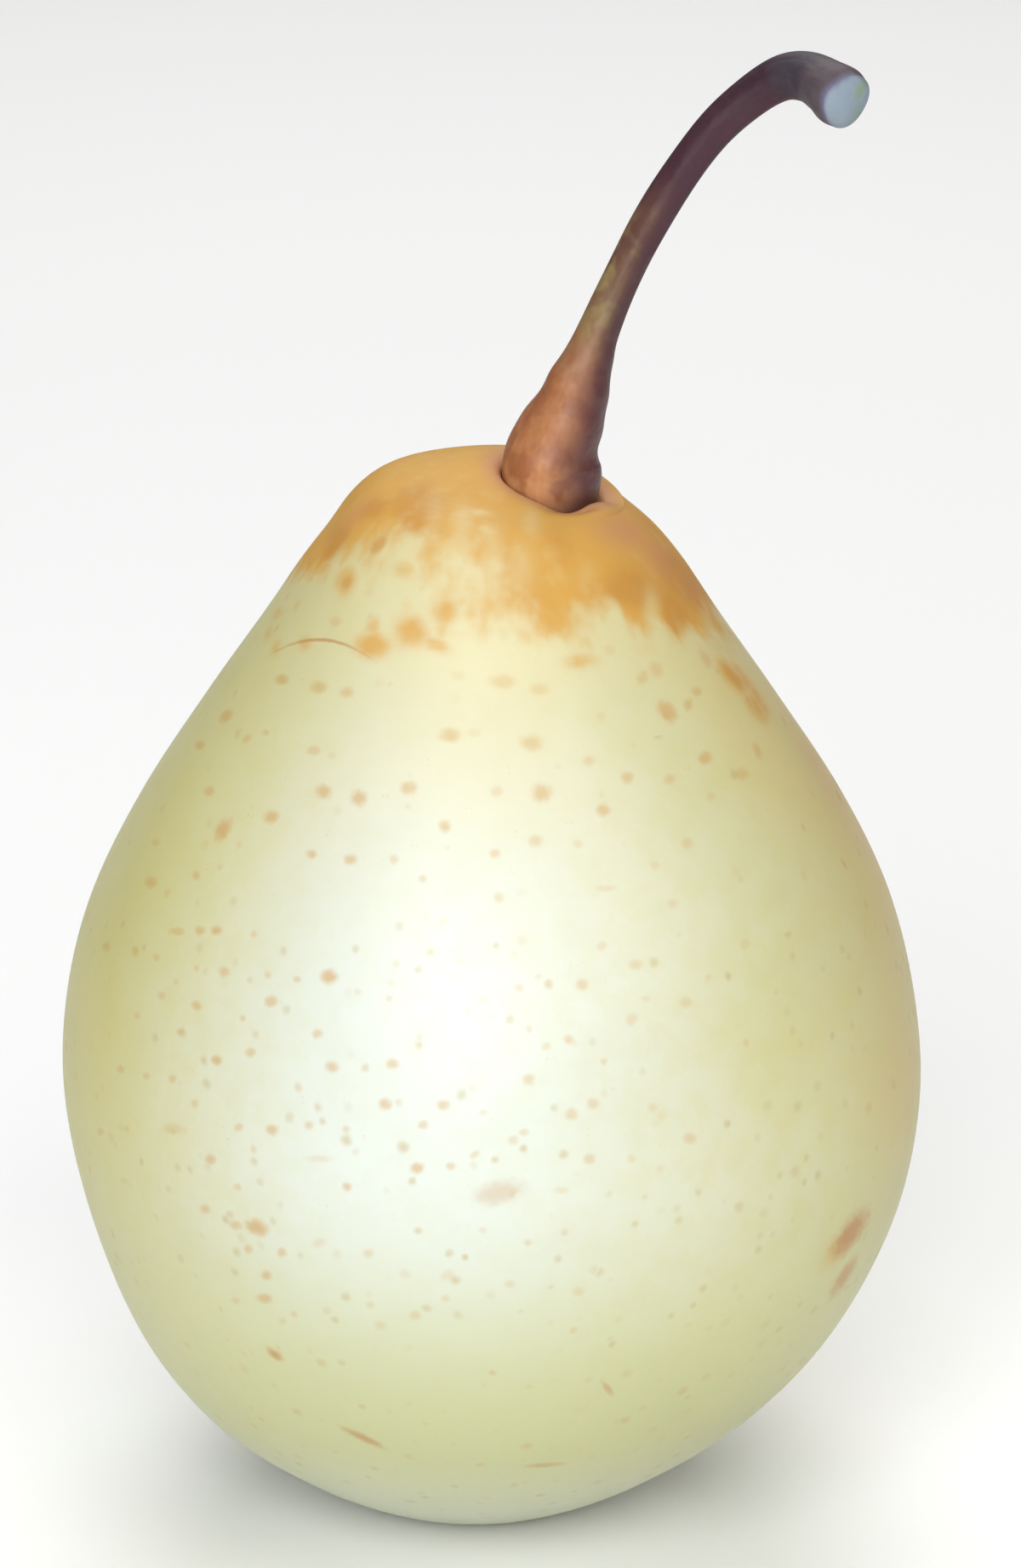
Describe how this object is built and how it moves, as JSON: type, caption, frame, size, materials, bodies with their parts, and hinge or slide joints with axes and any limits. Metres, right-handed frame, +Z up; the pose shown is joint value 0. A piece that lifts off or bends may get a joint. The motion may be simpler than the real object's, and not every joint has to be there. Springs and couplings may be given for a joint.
{
  "type": "pear",
  "caption": "Whole pale pear with a long curved stem, standing upright on a small flat ring round its calyx eye.",
  "frame": {"origin": "on the surface that the pear stands on, under the middle of its bounding box, which is the middle of its belly", "axes": "+Z up from the calyx eye to the stem, +X the side that the stem leans to, -Y towards the picture's viewer"},
  "size_m": [0.0714, 0.0704, 0.1232],
  "materials": {
    "fruit_skin": "thin waxy skin, pale cream-green, tan russet cap round the stem and small russet dots",
    "stem_bark": "smooth woody stalk, red-brown at its fleshy foot, slate at the bend, pale callus on the cut end"
  },
  "bodies": {
    "root": {"fruit": "fruit_skin", "stem": "stem_bark"}
  },
  "joints": []
}
